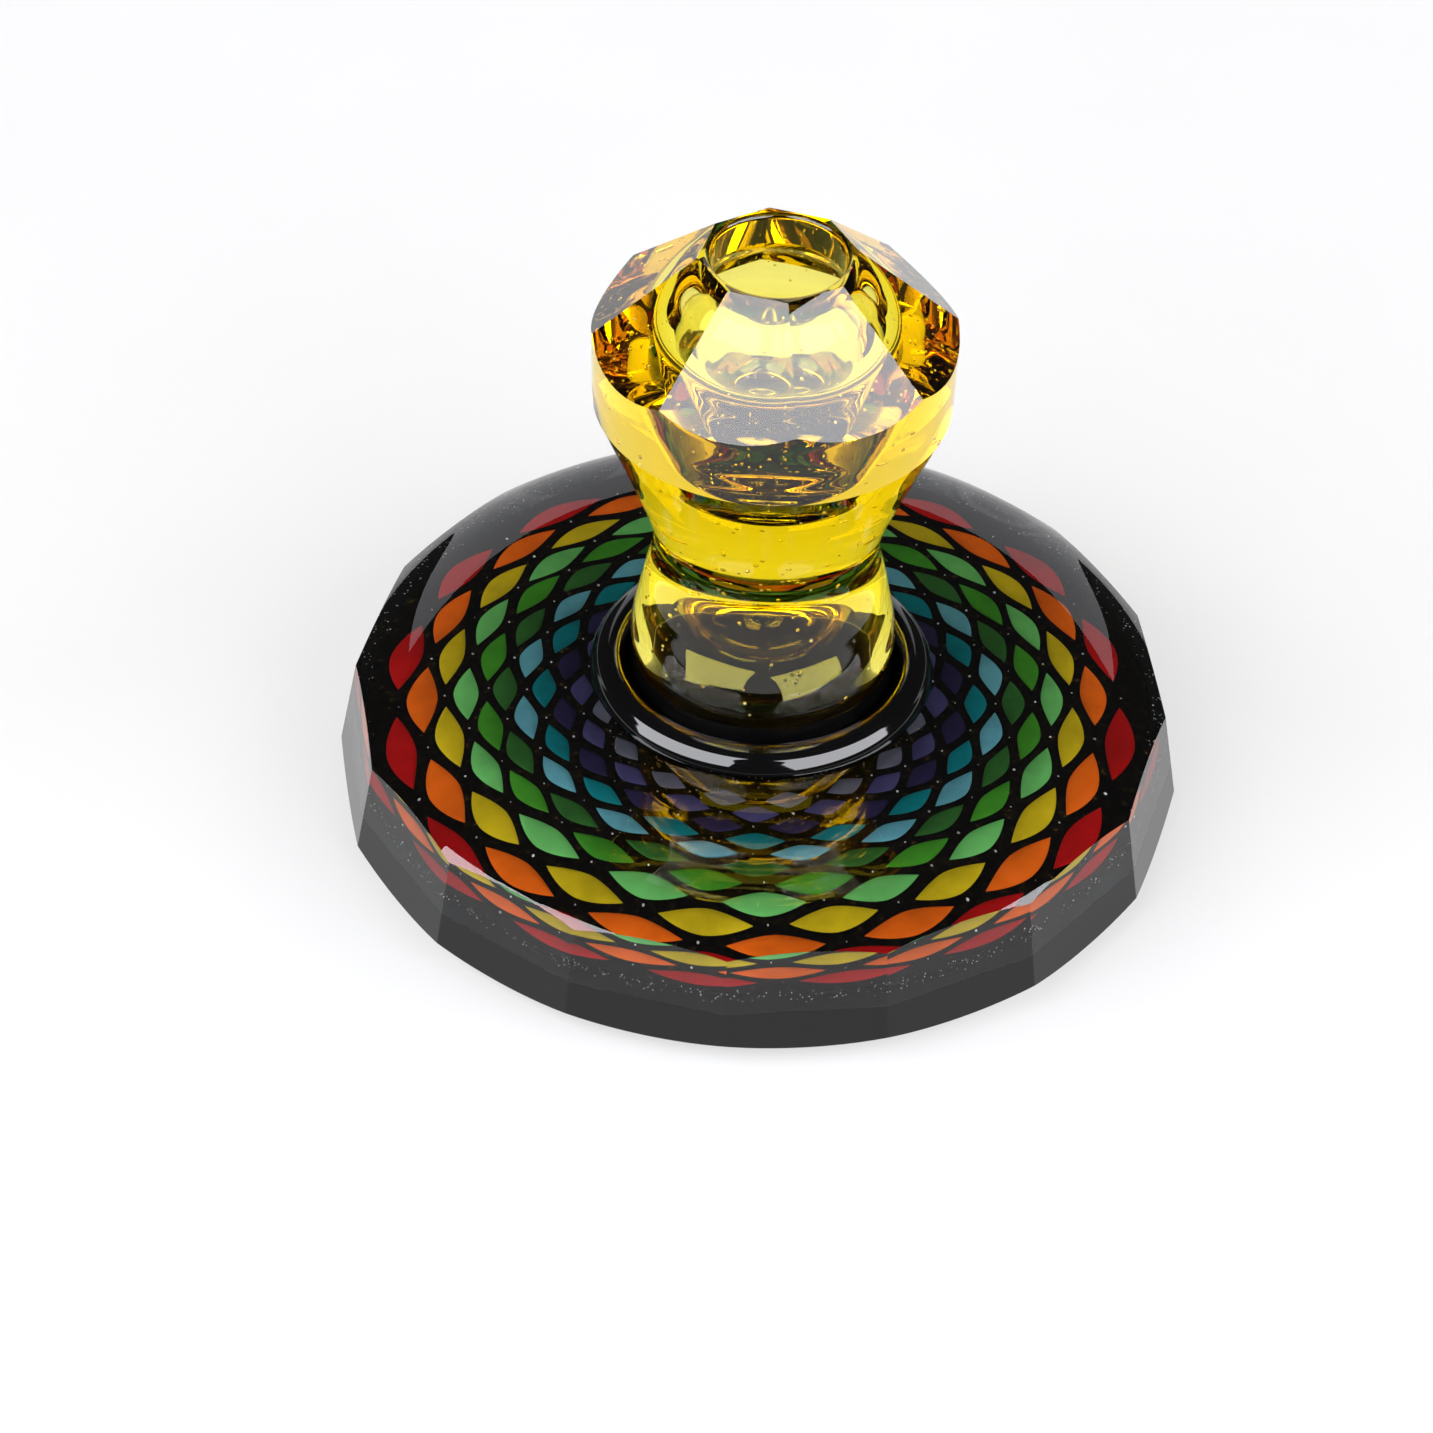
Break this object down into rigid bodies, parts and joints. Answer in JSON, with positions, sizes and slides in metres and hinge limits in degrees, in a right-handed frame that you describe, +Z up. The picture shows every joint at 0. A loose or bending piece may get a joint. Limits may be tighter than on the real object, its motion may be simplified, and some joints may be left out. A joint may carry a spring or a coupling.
{
  "type": "faceted glass cap",
  "caption": "Round faceted glass cap: a disc with a swirled lattice of coloured cells under clear glass, and a hollow amber knob with a hole in its top.",
  "frame": {"origin": "centre of the flat underside that the cap rests on", "axes": "+Z up along the knob's axis; -Y is the front, the side the picture was taken from"},
  "size_m": [0.0416, 0.0415, 0.0325],
  "materials": {
    "black_glass": "opaque black, fire polished, facets cold polished",
    "lattice_line": "opaque black line glass inside the disc",
    "clear_glass": "clear, polished",
    "amber_glass": "transparent amber, polished facets",
    "cell_red": "opaque coloured cane glass inside the disc",
    "cell_orange": "opaque coloured cane glass inside the disc",
    "cell_yellow": "opaque coloured cane glass inside the disc",
    "cell_light_green": "opaque coloured cane glass inside the disc",
    "cell_green": "opaque coloured cane glass inside the disc",
    "cell_dark_green": "opaque coloured cane glass inside the disc",
    "cell_light_blue": "opaque coloured cane glass inside the disc",
    "cell_teal": "opaque coloured cane glass inside the disc",
    "cell_indigo": "opaque coloured cane glass inside the disc",
    "cell_violet": "opaque coloured cane glass inside the disc",
    "cell_grey": "opaque coloured cane glass inside the disc"
  },
  "bodies": {
    "root": {"black_base": "black_glass", "black_lattice": "lattice_line", "cells_red": "cell_red", "cells_orange": "cell_orange", "cells_yellow": "cell_yellow", "cells_light_green": "cell_light_green", "cells_green": "cell_green", "cells_dark_green": "cell_dark_green", "cells_light_blue": "cell_light_blue", "cells_teal": "cell_teal", "cells_indigo": "cell_indigo", "cells_violet": "cell_violet", "cells_grey": "cell_grey", "clear_lens": "clear_glass", "black_collar": "black_glass", "knob_foot": "amber_glass", "knob_head": "amber_glass"}
  },
  "joints": []
}
